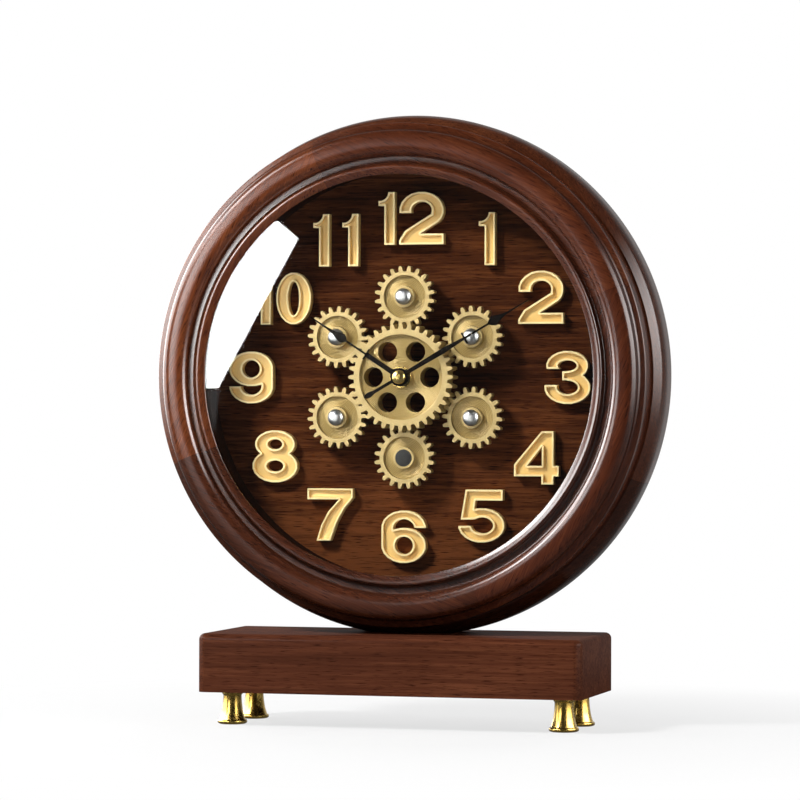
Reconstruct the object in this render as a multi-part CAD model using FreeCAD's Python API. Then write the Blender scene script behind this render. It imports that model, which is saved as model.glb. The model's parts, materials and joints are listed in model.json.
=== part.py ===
"""Desk clock: a turned wooden drum with a glazed dial, open gear train and brass feet on a plinth.

Millimetres. X to the right and Z up as seen from the front, Y to the back. The origin is on the
floor under the middle of the plinth. Dial angles are degrees clockwise from twelve o'clock.
"""

import FreeCAD
import Part
import math
import os
from FreeCAD import Vector

# ---------------------------------------------------------------------------- driving dimensions

# Plinth
BASE_WIDTH = 197.0
BASE_DEPTH = 76.0
BASE_HEIGHT = 29.4
BASE_CORNER = 4.5           # radius of the upright edges
BASE_EDGE = 3.0             # rounding of the edges round the top
CRADLE_DEPTH = 2.1          # how far the drum sinks into the plinth's top

# Feet
FOOT_HEIGHT = 17.0
FOOT_INSET_X = 12.7         # from the plinth's sides to the feet's axes
FOOT_INSET_Y = 19.4
FOOT_SOLE_RADIUS = 6.5
FOOT_BEAD_RADIUS = 7.5
FOOT_BEAD_HEIGHT = 1.2
FOOT_FLARE_RADIUS = 6.8     # just above the bead
FOOT_FLARE_HEIGHT = 2.6
FOOT_WAIST_RADIUS = 5.4
FOOT_WAIST_HEIGHT = 6.2
FOOT_NECK_RADIUS = 4.6
FOOT_COLLAR_RADIUS = 5.4
FOOT_COLLAR_HEIGHT = 2.2
FOOT_COLLAR_SLOPE = 0.6
FOOT_STUD_RADIUS = 2.5
FOOT_STUD_LENGTH = 12.0

# Drum: two glued rings of four turned segments each, sized outwards from the dial's recess
SEGMENTS = 4
FRONT_JOINT_ANGLE = -21     # first glue joint of the front ring, degrees clockwise from twelve
REAR_JOINT_ANGLE = 24       # first glue joint of the rear ring
ROUND_STEPS = 3             # conical steps that make up a rounded edge of a ring
REBATE_RADIUS = 110.0       # recess for the dial, open to the back
SHOULDER_WIDTH = 5.0        # the step inside the recess that carries the dial
SHOULDER_THICKNESS = 6.5
REAR_RING_WALL = 21.9
REAR_RING_DEPTH = 24.0
REAR_FRONT_ROUND = 6.0
REAR_BACK_ROUND = 5.0
LIP_OVERHANG = 4.6          # how far the lip reaches inwards over the glass
LIP_WIDTH = 5.5
LIP_THICKNESS = 1.95
LIP_CHAMFER = 1.0
LIP_SET_BACK = 2.25         # from the bead's front to the lip's front
GROOVE_SLOPE = 1.4
GROOVE_WIDTH = 1.2
GROOVE_DEPTH = 5.8
BEAD_INNER_ROUND = 4.0
BEAD_FLAT = 6.5
BEAD_OUTER_ROUND = 3.6
BEAD_OUTER_DROP = 4.7
COVE_STEP = 1.0
COVE_DROP = 1.7
SIDE_STEP = 2.8
SIDE_DROP = 1.0
RING_SIDE_TAPER = 0.6       # how much narrower the side is at the seam
SEAM_CHAMFER = 0.5

# Glazing and dial
GLASS_THICKNESS = 2.0
GLASS_CLEARANCE = 0.3       # from the glass to the drum's bore
GLASS_GAP = 0.5             # from the glass to the nut on the hands
SPACER_WALL = 1.4
SPACER_CLEARANCE = 0.2
DIAL_THICKNESS = 3.0
DIAL_CLEARANCE = 0.25
DIAL_DROP = 1.0             # the dial's pattern is centred this much below the drum's axis
DIAL_SCREW_COUNT = 4
DIAL_SCREW_RADIUS = 1.25
DIAL_SCREW_HEAD_RADIUS = 2.4
DIAL_SCREW_HEAD_HEIGHT = 1.8
DIAL_SCREW_GRIP = 5.0       # how far the screw goes into the wood
SCREW_CLEARANCE = 0.03

# Channel numerals
NUMERAL_INSET = 19.9        # from the lip's edge to the circle through the numerals' middles
NUMERAL_HEIGHT = 26.6
NUMERAL_DEPTH = 4.5
NUMERAL_WALL = 0.95
NUMERAL_RECESS = 1.8
GLYPH_SQUARE_COUNT = 266    # grid squares in a numeral's height
OVAL_SIDES = 20
NUMERAL_SHIFT = {           # grid squares by which a numeral stands right of its place
    1: 8, 2: -9, 3: 19, 4: -30, 5: -20, 6: -20, 7: -5, 8: -4, 9: -24, 10: 37, 11: 26, 12: 18,
}

# Gear train
MODULE = 1.45
PRESSURE_ANGLE = 20
BACKLASH = 0.25
ADDENDUM = 1.1
DEDENDUM = 1.65
PLANETS = 6
DRIVEN_PLANET = 4           # the lowest one, counted clockwise from twelve o'clock
CENTRE_TEETH = 36
PLANET_TEETH = 20
CENTRE_GEAR_WIDTH = 10.5
CENTRE_RIM = 2.95           # from the root of the teeth in to the sunk web
CENTRE_RECESS_DEPTH = 2.0
CENTRE_HOLE_RADIUS = 5.0
CENTRE_HOLE_MARGIN = 1.9    # web between a round hole and the rim
CENTRE_HUB_RADIUS = 6.5
CENTRE_HUB_LENGTH = 5.4
PLANET_OVERLAP = 3.0        # width over which the teeth mesh
PLANET_THICKNESS = 5.0
PLANET_RIM = 2.05
PLANET_RECESS_DEPTH = 1.5
PLANET_BOSS_RADIUS = 5.4
PLANET_BOSS_FRONT_STEP = 1.5
PLANET_BOSS_BACK_STEP = 0.3
RUNNING_FIT = 0.05          # radial clearance of a turning piece
END_PLAY = 0.3              # along the axis, between a turning piece and its stops

# Pins that carry five of the planets
PIN_RADIUS = 2.5
PIN_HEAD_RADIUS = 4.1
PIN_HEAD_HEIGHT = 1.9
PIN_DOME = 1.0
PIN_DOME_FLAT = 1.8
PIN_SPACER_RADIUS = 4.0
PIN_NUT_WIDTH = 7.0
PIN_NUT_HEIGHT = 3.2
PIN_END = 0.8               # length of the pin past its nut

# Spindle that drives the lowest planet
SPINDLE_NOSE_RADIUS = 4.3
SPINDLE_RADIUS = 3.0
SPINDLE_HOLE_CLEARANCE = 0.6
SPINDLE_DEPTH = 8.0         # how far the spindle goes into the drive unit

# Centre stack
BUSHING_RADIUS = 4.0
BUSHING_END = 0.3           # length of the bushing past the collar
BUSHING_NUT_WIDTH = 12.0
BUSHING_NUT_HEIGHT = 2.0
WASHER_RADIUS = 7.5
WASHER_THICKNESS = 0.5
COLLAR_RADIUS = 5.5
COLLAR_THICKNESS = 1.8
HOUR_TUBE_RADIUS = 2.8
ARBOR_RADIUS = 1.6
TUBE_IN_MOVEMENT = 2.0
ARBOR_IN_MOVEMENT = 4.0
HAND_THICKNESS = 0.8
HAND_WIDTH = 5.0            # widest place of a hand's spade
HAND_BOSS_RADIUS = 4.5
HAND_CLEARANCE = 0.4        # from the bushing to the hour hand
HANDS_APART = 0.7
HOUR_HAND_LENGTH = 55.8
HOUR_HAND_ANGLE = 303
MINUTE_HAND_LENGTH = 76.8
MINUTE_HAND_ANGLE = 60
HAND_NUT_RADIUS = 3.6
HAND_NUT_HEIGHT = 2.0
HAND_NUT_CAP = 0.7

# Round cells and their bays
CELL_RADIUS = 7.1
CELL_LENGTH = 49.0
CELL_NUB_RADIUS = 2.75
CELL_NUB_LENGTH = 1.4
CELL_CLEARANCE = 0.1
BAY_EDGE = 2.6              # wall between a cell bay and the lower edge of its case
CASE_CORNER = 3.0

# Clock movement
MOVEMENT_SIDE_WALL = 2.7    # from the ends of the cell bay to the sides of the case
MOVEMENT_FLOOR = 1.6        # from the cell bay to the dial
KNOB_OFFSET = 13.0
KNOB_RADIUS = 6.0
KNOB_THICKNESS = 3.2
KNOB_STEM_RADIUS = 1.5
KNOB_STEM_DEPTH = 6.0

# Drive unit of the gear train
WORKS_GAP = 1.5             # between the movement and the drive unit
DRIVE_SIDE_WALL = 5.7
DRIVE_FLOOR = 0.6
DRIVE_HEIGHT = 44.0
EAR_WIDTH = 7.0
EAR_HEIGHT = 10.0
EAR_THICKNESS = 3.0
DRIVE_SCREW_RADIUS = 1.25
DRIVE_SCREW_HEAD_RADIUS = 2.6
DRIVE_SCREW_HEAD_HEIGHT = 1.8
DRIVE_SCREW_GRIP = 2.6
SWITCH_X = 17.0
SWITCH_TRAVEL = 3.0
SWITCH_BUTTON_LENGTH = 5.0
SWITCH_BUTTON_HEIGHT = 3.0
SWITCH_PROUD = 2.0
SWITCH_POCKET_DEPTH = 2.5
SWITCH_CLEARANCE = 0.2

# Screws that hold the drum on the plinth
CASE_SCREW_SPACING = 24.0
CASE_SCREW_RADIUS = 2.0
CASE_SCREW_HEAD_RADIUS = 3.9
CASE_SCREW_HEAD_HEIGHT = 3.0
CASE_SCREW_GRIP = 13.5      # how far the screw goes into the drum
COUNTERBORE_RADIUS = 4.5
COUNTERBORE_DEPTH = 12.0

# ---------------------------------------------------------------------------- sizes that follow

# Across the drum
DRUM_BORE = REBATE_RADIUS - SHOULDER_WIDTH
REAR_RING_RADIUS = REBATE_RADIUS + REAR_RING_WALL
DIAL_SCREW_CIRCLE = DRUM_BORE + SHOULDER_WIDTH / 2
LIP_RADIUS = DRUM_BORE - LIP_OVERHANG
NUMERAL_CIRCLE = LIP_RADIUS - NUMERAL_INSET
GLYPH_SQUARE = NUMERAL_HEIGHT / GLYPH_SQUARE_COUNT

# Heights
BASE_TOP = FOOT_HEIGHT + BASE_HEIGHT
DRUM_Z = BASE_TOP - CRADLE_DEPTH + REAR_RING_RADIUS
DIAL_Z = DRUM_Z - DIAL_DROP

# From the dial forwards; the seam between the two rings is at y = 0
DIAL_FRONT_Y = SHOULDER_THICKNESS
DIAL_BACK_Y = DIAL_FRONT_Y + DIAL_THICKNESS
WASHER_FRONT_Y = DIAL_FRONT_Y - WASHER_THICKNESS
BUSHING_NUT_FRONT_Y = WASHER_FRONT_Y - BUSHING_NUT_HEIGHT
CENTRE_HUB_BACK_Y = BUSHING_NUT_FRONT_Y - END_PLAY
CENTRE_GEAR_BACK_Y = CENTRE_HUB_BACK_Y - CENTRE_HUB_LENGTH
CENTRE_GEAR_FRONT_Y = CENTRE_GEAR_BACK_Y - CENTRE_GEAR_WIDTH
COLLAR_BACK_Y = CENTRE_GEAR_FRONT_Y + CENTRE_RECESS_DEPTH - END_PLAY
COLLAR_FRONT_Y = COLLAR_BACK_Y - COLLAR_THICKNESS
BUSHING_FRONT_Y = min(COLLAR_FRONT_Y, CENTRE_GEAR_FRONT_Y) - BUSHING_END
HOUR_HAND_FRONT_Y = BUSHING_FRONT_Y - HAND_CLEARANCE - HAND_THICKNESS
MINUTE_HAND_FRONT_Y = HOUR_HAND_FRONT_Y - HANDS_APART - HAND_THICKNESS
HAND_NUT_FRONT_Y = MINUTE_HAND_FRONT_Y - HAND_NUT_HEIGHT
GLASS_BACK_Y = HAND_NUT_FRONT_Y - GLASS_GAP
LIP_BACK_Y = GLASS_BACK_Y - GLASS_THICKNESS
LIP_FRONT_Y = LIP_BACK_Y - LIP_THICKNESS
RING_FRONT_Y = LIP_FRONT_Y - LIP_SET_BACK

# Gears
CENTRE_PITCH_RADIUS = MODULE * CENTRE_TEETH / 2
PLANET_PITCH_RADIUS = MODULE * PLANET_TEETH / 2
PLANET_CIRCLE = CENTRE_PITCH_RADIUS + PLANET_PITCH_RADIUS
CENTRE_RECESS_RADIUS = CENTRE_PITCH_RADIUS - DEDENDUM - CENTRE_RIM
CENTRE_HOLE_CIRCLE = CENTRE_RECESS_RADIUS - CENTRE_HOLE_MARGIN - CENTRE_HOLE_RADIUS
PLANET_RECESS_RADIUS = PLANET_PITCH_RADIUS - DEDENDUM - PLANET_RIM
PLANET_FRONT_Y = CENTRE_GEAR_BACK_Y - PLANET_OVERLAP
PLANET_BACK_Y = PLANET_FRONT_Y + PLANET_THICKNESS
PLANET_BOSS_FRONT_Y = PLANET_FRONT_Y - PLANET_BOSS_FRONT_STEP
PLANET_BOSS_BACK_Y = PLANET_BACK_Y + PLANET_BOSS_BACK_STEP

# Works behind the dial
BAY_RADIUS = CELL_RADIUS + CELL_CLEARANCE
BAY_LENGTH = CELL_LENGTH + CELL_NUB_LENGTH + 2 * CELL_CLEARANCE
MOVEMENT_SIZE = BAY_LENGTH + 2 * MOVEMENT_SIDE_WALL
MOVEMENT_DEPTH = 2 * BAY_RADIUS + MOVEMENT_FLOOR
DRIVE_WIDTH = BAY_LENGTH + 2 * DRIVE_SIDE_WALL
DRIVE_DEPTH = 2 * BAY_RADIUS + DRIVE_FLOOR
DRIVE_TOP = -MOVEMENT_SIZE / 2 - WORKS_GAP
DRIVE_BOTTOM = DRIVE_TOP - DRIVE_HEIGHT

Y_AXIS = Vector(0, 1, 0)


# ---------------------------------------------------------------------------- drawing tools

def outline_face(outline, place):
    """A flat face inside a closed outline of (a, b) corners, set in space by place(a, b).

    An entry (m, n, a, b) is an arc that runs through (m, n) and ends at (a, b).
    """
    ends = [place(*entry[-2:]) for entry in outline]
    edges = []
    for index, entry in enumerate(outline):
        start = ends[index - 1]
        end = ends[index]
        if len(entry) == 4:
            edges.append(Part.Arc(start, place(*entry[:2]), end).toShape())
        elif not start.isEqual(end, 1e-7):
            edges.append(Part.LineSegment(start, end).toShape())
    return Part.Face(Part.Wire(edges))


def plate(outline, y_front, y_back):
    """A flat piece seen from the front: an (x, z) outline, thick from y_front to y_back."""
    face = outline_face(outline, lambda x, z: Vector(x, y_front, z))
    return face.extrude(Vector(0, y_back - y_front, 0))


def turned(profile, sweep=360.0):
    """A (radius, y) profile turned clockwise from twelve o'clock about the Y axis."""
    face = outline_face(profile, lambda radius, y: Vector(0, y, radius))
    return face.revolve(Vector(0, 0, 0), Y_AXIS, sweep)


def quarter(start, end, turn_first, steps):
    """Points of a quarter round between two (radius, y) points, without the first one.

    turn_first is True where the round leaves start along y and reaches end along the radius.
    """
    points = []
    for k in range(1, steps + 1):
        angle = math.pi / 2 * k / steps
        early = 1 - math.cos(angle)
        late = math.sin(angle)
        radius_share, y_share = (early, late) if turn_first else (late, early)
        points.append((start[0] + (end[0] - start[0]) * radius_share,
                       start[1] + (end[1] - start[1]) * y_share))
    return points


def disc(radius, y_front, y_back, x=0.0, z=0.0):
    """A round piece or hole along Y."""
    return Part.makeCylinder(radius, y_back - y_front, Vector(x, y_front, z), Y_AXIS)


def tube(radius, bore, y_front, y_back):
    return disc(radius, y_front, y_back).cut(disc(bore, y_front, y_back))


def block(x0, x1, y0, y1, z0, z1):
    return Part.makeBox(x1 - x0, y1 - y0, z1 - z0, Vector(x0, y0, z0))


def hexagon(width, y_front, y_back):
    """A hexagonal bar with its flats at the left and right."""
    corner = width / math.sqrt(3)
    points = [dial_point(corner, 60 * k) for k in range(6)]
    return plate(points, y_front, y_back)


def dial_point(radius, angle):
    """(x, z) of a place at this many degrees clockwise from twelve o'clock."""
    turn = math.radians(angle)
    return radius * math.sin(turn), radius * math.cos(turn)


def moved(shape, x, z):
    """A copy of the shape, shifted across the dial."""
    copy = shape.copy()
    copy.translate(Vector(x, 0, z))
    return copy


def clockwise(shape, angle):
    """A copy of the shape, turned clockwise about the Y axis through the origin."""
    copy = shape.copy()
    copy.rotate(Vector(0, 0, 0), Y_AXIS, angle)
    return copy


def on_dial(shape):
    return moved(shape, 0, DIAL_Z)


def save(node, *solids):
    shape = solids[0] if len(solids) == 1 else Part.makeCompound(list(solids))
    shape.exportStep(f"parts/{node}.step")


# ---------------------------------------------------------------------------- plinth and feet

def foot_places():
    half_x = BASE_WIDTH / 2 - FOOT_INSET_X
    half_y = BASE_DEPTH / 2 - FOOT_INSET_Y
    return [(x, y) for x in (-half_x, half_x) for y in (-half_y, half_y)]


def case_screw_places():
    half = CASE_SCREW_SPACING / 2
    return [(-half, REAR_RING_DEPTH / 2), (half, REAR_RING_DEPTH / 2)]


def upright(radius, z0, z1, x, y):
    """A round piece or hole along Z."""
    return Part.makeCylinder(radius, z1 - z0, Vector(x, y, z0))


def make_base():
    """Solid plinth with rounded edges, a cradle for the rear ring and holes for studs and screws."""
    half_x = BASE_WIDTH / 2
    half_y = BASE_DEPTH / 2
    base = block(-half_x, half_x, -half_y, half_y, FOOT_HEIGHT, BASE_TOP)
    uprights = [e for e in base.Edges if abs(e.Vertexes[0].Z - e.Vertexes[1].Z) > 1]
    base = base.makeFillet(BASE_CORNER, uprights)
    rims = [e for e in base.Edges if e.BoundBox.ZMin > BASE_TOP - 1]
    base = base.makeFillet(BASE_EDGE, rims)
    cuts = [disc(REAR_RING_RADIUS, 0, REAR_RING_DEPTH, z=DRUM_Z)]
    stud_top = FOOT_HEIGHT + FOOT_STUD_LENGTH
    for x, y in foot_places():
        cuts.append(upright(FOOT_STUD_RADIUS + SCREW_CLEARANCE, FOOT_HEIGHT, stud_top, x, y))
    bore_top = FOOT_HEIGHT + COUNTERBORE_DEPTH
    for x, y in case_screw_places():
        cuts.append(upright(COUNTERBORE_RADIUS, FOOT_HEIGHT, bore_top, x, y))
        cuts.append(upright(CASE_SCREW_RADIUS + SCREW_CLEARANCE, bore_top, BASE_TOP, x, y))
    return base.cut(cuts)


def make_foot():
    """Turned foot: rounded sole, waisted stem, collar under the plinth and a threaded stud."""
    profile = [
        (0, 0),
        (FOOT_SOLE_RADIUS, 0),
        (FOOT_BEAD_RADIUS, FOOT_BEAD_HEIGHT),
        (FOOT_FLARE_RADIUS, FOOT_FLARE_HEIGHT),
        (FOOT_WAIST_RADIUS, FOOT_WAIST_HEIGHT),
        (FOOT_NECK_RADIUS, FOOT_HEIGHT - FOOT_COLLAR_HEIGHT - FOOT_COLLAR_SLOPE),
        (FOOT_COLLAR_RADIUS, FOOT_HEIGHT - FOOT_COLLAR_HEIGHT),
        (FOOT_COLLAR_RADIUS, FOOT_HEIGHT),
        (FOOT_STUD_RADIUS, FOOT_HEIGHT),
        (FOOT_STUD_RADIUS, FOOT_HEIGHT + FOOT_STUD_LENGTH),
        (0, FOOT_HEIGHT + FOOT_STUD_LENGTH),
    ]
    face = outline_face(profile, lambda radius, z: Vector(radius, 0, z))
    return face.revolve(Vector(0, 0, 0), Vector(0, 0, 1), 360)


def make_case_screw():
    """Pan-head wood screw that rises through the plinth into the drum."""
    head_z = FOOT_HEIGHT + COUNTERBORE_DEPTH
    tip_z = BASE_TOP - CRADLE_DEPTH + CASE_SCREW_GRIP
    head = upright(CASE_SCREW_HEAD_RADIUS, head_z - CASE_SCREW_HEAD_HEIGHT, head_z, 0, 0)
    shank = upright(CASE_SCREW_RADIUS, head_z, tip_z, 0, 0)
    return head.fuse(shank)


# ---------------------------------------------------------------------------- drum

def front_ring_profile():
    """Section of the front ring: lip, groove, broad bead, small cove and plain side."""
    lip_outer = LIP_RADIUS + LIP_WIDTH
    groove_in = lip_outer + GROOVE_SLOPE
    groove_out = groove_in + GROOVE_WIDTH
    groove_y = RING_FRONT_Y + GROOVE_DEPTH
    bead_inner = (groove_out + BEAD_INNER_ROUND, RING_FRONT_Y)
    bead_outer = (bead_inner[0] + BEAD_FLAT, RING_FRONT_Y)
    bead_foot = (bead_outer[0] + BEAD_OUTER_ROUND, RING_FRONT_Y + BEAD_OUTER_DROP)
    cove = (bead_foot[0] + COVE_STEP, bead_foot[1] + COVE_DROP)
    side = (cove[0] + SIDE_STEP, cove[1] + SIDE_DROP)
    seam_radius = side[0] - RING_SIDE_TAPER
    return [
        (DRUM_BORE, 0),
        (DRUM_BORE, LIP_BACK_Y),
        (LIP_RADIUS, LIP_BACK_Y),
        (LIP_RADIUS, LIP_FRONT_Y + LIP_CHAMFER),
        (LIP_RADIUS + LIP_CHAMFER, LIP_FRONT_Y),
        (lip_outer, LIP_FRONT_Y),
        (groove_in, groove_y),
        (groove_out, groove_y),
        *quarter((groove_out, groove_y), bead_inner, True, ROUND_STEPS),
        bead_outer,
        *quarter(bead_outer, bead_foot, False, ROUND_STEPS),
        cove,
        side,
        (seam_radius, -SEAM_CHAMFER),
        (seam_radius - SEAM_CHAMFER, 0),
    ]


def rear_ring_profile():
    """Section of the rear ring: rounded shoulders outside, a rebate for the dial inside."""
    outer = REAR_RING_RADIUS
    back = REAR_RING_DEPTH
    face_edge = (outer - REAR_FRONT_ROUND, 0)
    back_corner = (outer, back - REAR_BACK_ROUND)
    return [
        (DRUM_BORE, 0),
        face_edge,
        *quarter(face_edge, (outer, REAR_FRONT_ROUND), False, ROUND_STEPS),
        back_corner,
        *quarter(back_corner, (outer - REAR_BACK_ROUND, back), True, ROUND_STEPS - 1),
        (REBATE_RADIUS, back),
        (REBATE_RADIUS, DIAL_FRONT_Y),
        (DRUM_BORE, DIAL_FRONT_Y),
    ]


def dial_screw_places():
    step = 360 / DIAL_SCREW_COUNT
    return [dial_point(DIAL_SCREW_CIRCLE, step * (k + 0.5)) for k in range(DIAL_SCREW_COUNT)]


def ring_segments(profile, first_joint):
    """The ring's segments, clockwise from the one that begins at first_joint."""
    sweep = 360 / SEGMENTS
    blank = turned(profile, sweep)
    return [moved(clockwise(blank, first_joint + sweep * k), 0, DRUM_Z) for k in range(SEGMENTS)]


def make_rings():
    """Eight segments; the rear ones are drilled for the dial's screws and the plinth's screws."""
    for number, segment in enumerate(ring_segments(front_ring_profile(), FRONT_JOINT_ANGLE), 1):
        save(f"front_ring_segment_{number}", segment)
    drills = []
    pilot = DIAL_SCREW_RADIUS + SCREW_CLEARANCE
    for x, z in dial_screw_places():
        drills.append(disc(pilot, DIAL_FRONT_Y - DIAL_SCREW_GRIP, DIAL_FRONT_Y, x, DRUM_Z + z))
    ring_bottom = DRUM_Z - REAR_RING_RADIUS
    for x, y in case_screw_places():
        hole = CASE_SCREW_RADIUS + SCREW_CLEARANCE
        drills.append(upright(hole, ring_bottom, ring_bottom + CASE_SCREW_GRIP, x, y))
    for number, segment in enumerate(ring_segments(rear_ring_profile(), REAR_JOINT_ANGLE), 1):
        save(f"rear_ring_segment_{number}", segment.cut(drills))


def make_glass():
    return disc(DRUM_BORE - GLASS_CLEARANCE, LIP_BACK_Y, GLASS_BACK_Y)


def make_glass_spacer():
    """Bent strip between the glass and the dial, inside the drum's bore."""
    outer = DRUM_BORE - SPACER_CLEARANCE
    return tube(outer, outer - SPACER_WALL, GLASS_BACK_Y, DIAL_FRONT_Y)


def planet_places():
    """(number, angle) of each planet, clockwise from twelve o'clock."""
    return [(k + 1, 360 / PLANETS * k) for k in range(PLANETS)]


def pin_places():
    """(x, z) of the five planets that turn on pins, measured from the dial's centre."""
    return [dial_point(PLANET_CIRCLE, a) for number, a in planet_places() if number != DRIVEN_PLANET]


def make_dial():
    """Round board, drilled for the centre bushing, the gear pins, the spindle and its screws."""
    board = disc(REBATE_RADIUS - DIAL_CLEARANCE, DIAL_FRONT_Y, DIAL_BACK_Y, z=DRUM_Z)
    holes = [disc(BUSHING_RADIUS + SCREW_CLEARANCE, DIAL_FRONT_Y, DIAL_BACK_Y, z=DIAL_Z)]
    spindle_hole = SPINDLE_RADIUS + SPINDLE_HOLE_CLEARANCE
    holes.append(disc(spindle_hole, DIAL_FRONT_Y, DIAL_BACK_Y, z=DIAL_Z - PLANET_CIRCLE))
    for x, z in pin_places():
        holes.append(disc(PIN_RADIUS + SCREW_CLEARANCE, DIAL_FRONT_Y, DIAL_BACK_Y, x, DIAL_Z + z))
    for x, z in dial_screw_places():
        pilot = DIAL_SCREW_RADIUS + SCREW_CLEARANCE
        holes.append(disc(pilot, DIAL_FRONT_Y, DIAL_BACK_Y, x, DRUM_Z + z))
    for x, z in drive_screw_places():
        pilot = DRIVE_SCREW_RADIUS + SCREW_CLEARANCE
        holes.append(disc(pilot, DIAL_BACK_Y - DRIVE_SCREW_GRIP, DIAL_BACK_Y, x, DIAL_Z + z))
    return board.cut(holes)


def back_screw(radius, head_radius, head_height, seat_y, tip_y):
    """Pan-head screw driven forward from the back; seat_y is under its head."""
    return disc(radius, tip_y, seat_y).fuse(disc(head_radius, seat_y, seat_y + head_height))


def make_dial_screws():
    screw = back_screw(DIAL_SCREW_RADIUS, DIAL_SCREW_HEAD_RADIUS, DIAL_SCREW_HEAD_HEIGHT,
                       DIAL_BACK_Y, DIAL_FRONT_Y - DIAL_SCREW_GRIP)
    return [moved(screw, x, DRUM_Z + z) for x, z in dial_screw_places()]


# ---------------------------------------------------------------------------- numerals

def prism(outline):
    """Part of a numeral in solid form, from an (x, z) outline in grid squares."""
    return plate([[GLYPH_SQUARE * value for value in entry] for entry in outline], 0, NUMERAL_DEPTH)


def oval(x, z, half_width, half_height):
    """An ellipse of short straight sides, in grid squares."""
    points = []
    for k in range(OVAL_SIDES):
        turn = 2 * math.pi * (k + 0.5) / OVAL_SIDES
        points.append((x + half_width * math.cos(turn), z + half_height * math.sin(turn)))
    return prism(points)


def bar(x0, x1, z0, z1):
    return prism([(x0, z0), (x1, z0), (x1, z1), (x0, z1)])


def digit_0():
    return oval(0, 0, 93.5, 133).cut(oval(0, 0, 29.5, 87))


def digit_1():
    """Stem with a curved flag at its top left."""
    return prism([
        (-7, 133), (27, 133), (27, -133), (-27, -133), (-27, 64),
        (-58, 64), (-58, 89), (-24, 98, -7, 133),
    ])


def digit_2():
    """Bowl, sloping neck and flat foot."""
    bowl = oval(0, 39, 116, 94).cut([oval(0, 39, 54, 44), bar(-130, 0, -90, 27)])
    bowl = bowl.cut(prism([(-10, 22), (50, 22), (96, -14), (130, -30), (130, -90), (-10, -90)]))
    neck = prism([
        (44, 16), (-86, -64), (-116, -112), (-116, -133), (115, -133), (115, -79),
        (-6, -79), (94, -16), (82, 30),
    ])
    return bowl.fuse(neck)


def digit_3():
    """Two open bowls joined by a short bar."""
    upper = oval(0, 59, 107.5, 74).cut([oval(0, 59, 48.5, 27), bar(-130, 0, -30, 43)])
    lower = oval(1, -50, 118, 83).cut([oval(1, -50, 54, 34), bar(-130, 0, -37.5, 50)])
    return upper.fuse([lower, bar(-25, 45, -14, 31)])


def digit_4():
    """Sloping stroke, crossbar and stem around a triangular eye."""
    body = prism([
        (26, 133), (88, 133), (88, -40), (115, -40), (115, -93), (88, -93),
        (88, -133), (26, -133), (26, -93), (-115, -93), (-115, -34),
    ])
    return body.cut(prism([(28, 56), (28, -40), (-49, -40)]))


def digit_5():
    """Flag and stem over an open bowl."""
    bowl = oval(2, -46.5, 120, 86.5)
    bowl = bowl.cut([oval(5, -46.5, 58, 41), bar(-130, -30, -50, -16), bar(-130, -95, -20, 50)])
    stem = prism([
        (-80, 133), (112, 133), (112, 79), (-29, 79), (-43, -17), (-105, -17),
    ])
    return bowl.fuse(stem)


def digit_6():
    """Closed lower bowl with an arch over it that ends short on the right."""
    arch = oval(0, 44, 117, 89).cut([oval(0, 44, 56, 45), bar(-130, 130, -60, 46)])
    bowl = oval(0, -44, 117, 89)
    side = bar(-116, -56, -45, 47)
    return arch.fuse([bowl, side]).cut(oval(1, -44, 48, 45))


def digit_7():
    """Top bar and a curved leg."""
    return prism([
        (-120, 133), (120, 133), (120, 86), (72, 28), (34, -42), (2, -133),
        (-72, -133), (-46, -52), (-10, 16), (46, 77), (-120, 77),
    ])


def digit_8():
    """Small closed bowl on a larger one."""
    body = oval(0, 62, 106, 71).fuse(oval(0, -49, 120, 84))
    return body.cut([oval(0, 62, 39, 26), oval(0, -49, 46, 29)])


def digit_9():
    return clockwise(digit_6(), 180)


GLYPHS = {                  # numeral: its digits, each with its place across the numeral
    1: [(digit_1, 14)], 2: [(digit_2, 0)], 3: [(digit_3, 0)], 4: [(digit_4, 0)],
    5: [(digit_5, 0)], 6: [(digit_6, 0)], 7: [(digit_7, 0)], 8: [(digit_8, 0)],
    9: [(digit_9, 0)],
    10: [(digit_1, -92), (digit_0, 56)],
    11: [(digit_1, -66), (digit_1, 88)],
    12: [(digit_1, -116), (digit_2, 51)],
}


def channelled(body):
    """The digit with a sunk face: only a rim as wide as NUMERAL_WALL stands at full height."""
    body = body.removeSplitter()
    front = min(body.Faces, key=lambda face: face.CenterOfMass.y)
    floor = front.makeOffset2D(-NUMERAL_WALL)
    return body.cut(floor.extrude(Vector(0, NUMERAL_RECESS, 0)))


def make_numerals():
    y = DIAL_FRONT_Y - NUMERAL_DEPTH
    for number, digits in GLYPHS.items():
        x, z = dial_point(NUMERAL_CIRCLE, 30 * number)
        x += GLYPH_SQUARE * NUMERAL_SHIFT[number]
        solids = []
        for draw, offset in digits:
            glyph = channelled(draw())
            glyph.translate(Vector(x + GLYPH_SQUARE * offset, y, DIAL_Z + z))
            solids += glyph.Solids
        save(f"numeral_{number}", *solids)


# ---------------------------------------------------------------------------- gears

def involute(angle):
    return math.tan(angle) - angle


def tooth_half_angle(teeth, radius):
    """Half of a tooth's angle at this radius; below the base circle the flank is radial."""
    pitch = MODULE * teeth / 2
    pressure = math.radians(PRESSURE_ANGLE)
    base = pitch * math.cos(pressure)
    thickness = math.pi * MODULE / 2 - BACKLASH
    slope = math.acos(min(1.0, base / radius))
    return thickness / (2 * pitch) + involute(pressure) - involute(slope)


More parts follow.
